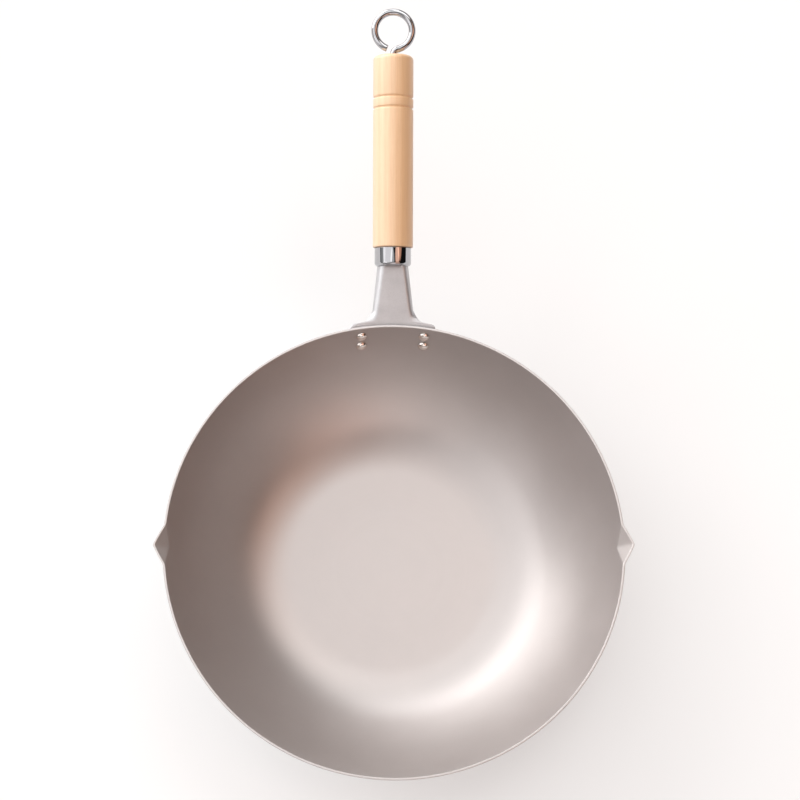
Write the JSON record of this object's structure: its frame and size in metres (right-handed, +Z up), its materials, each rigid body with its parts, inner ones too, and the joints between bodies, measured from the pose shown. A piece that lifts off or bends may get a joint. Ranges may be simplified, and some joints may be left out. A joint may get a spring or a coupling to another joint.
{
  "type": "wok",
  "caption": "Flat-based wok of pressed sheet metal with pouring spouts in its rim, a riveted handle bracket, a turned wooden grip and an eye bolt to hang it by.",
  "frame": {"origin": "centre of the flat underside of the bowl, on the plane that the wok stands on", "axes": "+Z up along the bowl's axis, +Y along the handle, +X to the right seen from the bowl towards the handle, with a spout at each end of the X axis"},
  "size_m": [0.316, 0.5144, 0.1374],
  "materials": {
    "bowl_steel": "satin",
    "bracket_steel": "matte",
    "rivet_steel": "satin",
    "nut_steel": "satin",
    "plated_steel": "polished",
    "grip_wood": "matte"
  },
  "bodies": {
    "wok": {"bowl": "bowl_steel", "handle_bracket": "bracket_steel", "rivet_upper_left": "rivet_steel", "rivet_upper_right": "rivet_steel", "rivet_lower_left": "rivet_steel", "rivet_lower_right": "rivet_steel", "clamp_nut": "nut_steel"},
    "grip": {"wood_grip": "grip_wood", "ferrule": "plated_steel"},
    "eye": {"eye_bolt": "plated_steel"}
  },
  "joints": [
    {"name": "handle_draw", "type": "slide", "parent": "wok", "child": "grip", "axis": [0, 0.9613, 0.2756], "range_m": [0, 0.0055]},
    {"name": "eye_turn", "type": "hinge", "parent": "grip", "child": "eye", "pos_m": [0, 0.33126, 0.125], "axis": [0, 0.9613, 0.2756], "range_deg": [0, 2476]}
  ],
  "couplings": [
    {"joint": "eye_turn", "follows": "handle_draw", "rad_per_m": 7854}
  ]
}
